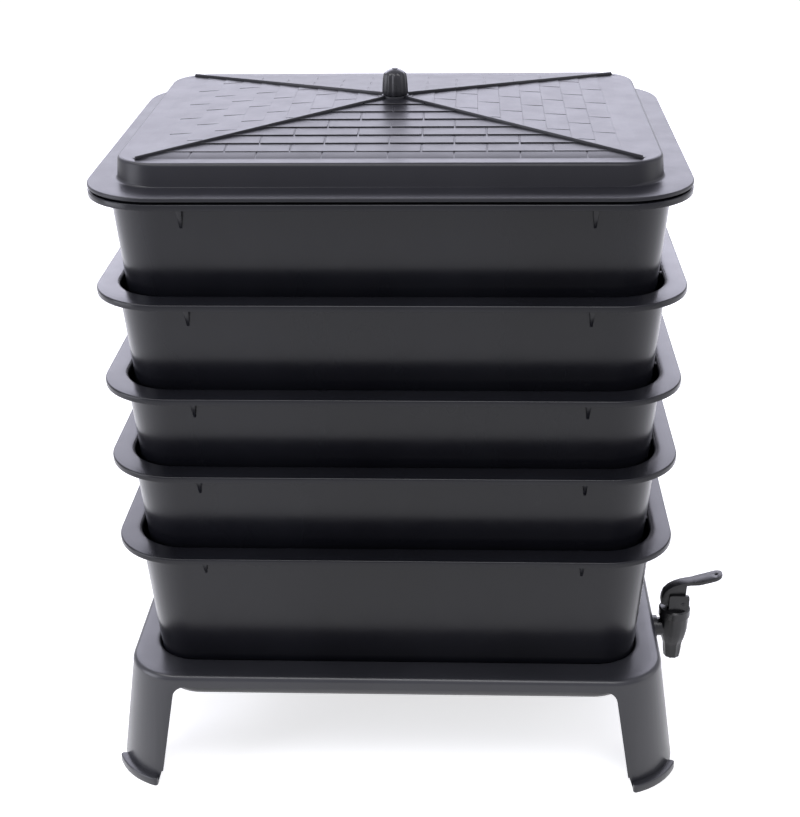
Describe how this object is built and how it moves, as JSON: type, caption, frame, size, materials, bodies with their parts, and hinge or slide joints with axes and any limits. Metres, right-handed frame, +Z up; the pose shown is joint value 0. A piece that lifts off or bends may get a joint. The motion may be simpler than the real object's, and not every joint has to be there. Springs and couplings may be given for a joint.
{
  "type": "stacking wormery",
  "caption": "Stacking wormery: nesting trays over a legged stand with a sump and a lever tap, and a hipped lid with a fluted knob.",
  "frame": {"origin": "on the ground under the middle of the whole object, tap included", "axes": "+Z up through the stack, -Y towards the front, +X towards the side with the tap"},
  "size_m": [0.5748, 0.4486, 0.6191],
  "materials": {
    "moulded_plastic": "satin moulded",
    "tap_plastic": "satin moulded",
    "seal_rubber": "matt",
    "plain_steel": "plain"
  },
  "bodies": {
    "stand": {"stand": "moulded_plastic", "tap_body": "tap_plastic", "tap_bonnet": "tap_plastic", "tap_gasket_outer": "seal_rubber", "tap_gasket_inner": "seal_rubber", "tap_back_nut": "tap_plastic", "tap_spring": "plain_steel"},
    "tray_5": {"tray_5": "moulded_plastic"},
    "tray_4": {"tray_4": "moulded_plastic"},
    "tray_3": {"tray_3": "moulded_plastic"},
    "tray_2": {"tray_2": "moulded_plastic"},
    "tray_1": {"tray_1": "moulded_plastic"},
    "lid": {"lid": "moulded_plastic", "lid_knob": "moulded_plastic", "lid_knob_washer": "plain_steel", "lid_knob_screw": "plain_steel"},
    "tap_lever": {"tap_lever": "tap_plastic", "tap_lever_pin": "plain_steel", "tap_stem_pin": "plain_steel"},
    "tap_stem": {"tap_stem": "tap_plastic", "tap_seat": "seal_rubber"}
  },
  "joints": [
    {"name": "tray_5_lift", "type": "slide", "parent": "stand", "child": "tray_5", "axis": [0, 0, 1], "range_m": [0, 0.03]},
    {"name": "tray_4_lift", "type": "slide", "parent": "tray_5", "child": "tray_4", "axis": [0, 0, 1], "range_m": [0, 0.06]},
    {"name": "tray_3_lift", "type": "slide", "parent": "tray_4", "child": "tray_3", "axis": [0, 0, 1], "range_m": [0, 0.07]},
    {"name": "tray_2_lift", "type": "slide", "parent": "tray_3", "child": "tray_2", "axis": [0, 0, 1], "range_m": [0, 0.06]},
    {"name": "tray_1_lift", "type": "slide", "parent": "tray_2", "child": "tray_1", "axis": [0, 0, 1], "range_m": [0, 0.06]},
    {"name": "lid_lift", "type": "slide", "parent": "tray_1", "child": "lid", "axis": [0, 0, 1], "range_m": [0, 0.03]},
    {"name": "tap_lever_press", "type": "hinge", "parent": "stand", "child": "tap_lever", "pos_m": [0.24992, -0.067, 0.112], "axis": [0, 1, 0], "range_deg": [0, 18], "stiffness_Nm_per_rad": 0.3, "springref_deg": -11.46},
    {"name": "tap_stem_lift", "type": "slide", "parent": "stand", "child": "tap_stem", "axis": [0, 0, 1], "range_m": [0, 0.00204], "deforming": ["tap_spring"]}
  ],
  "couplings": [
    {"joint": "tap_lever_press", "follows": "tap_stem_lift", "rad_per_m": 153.85}
  ]
}
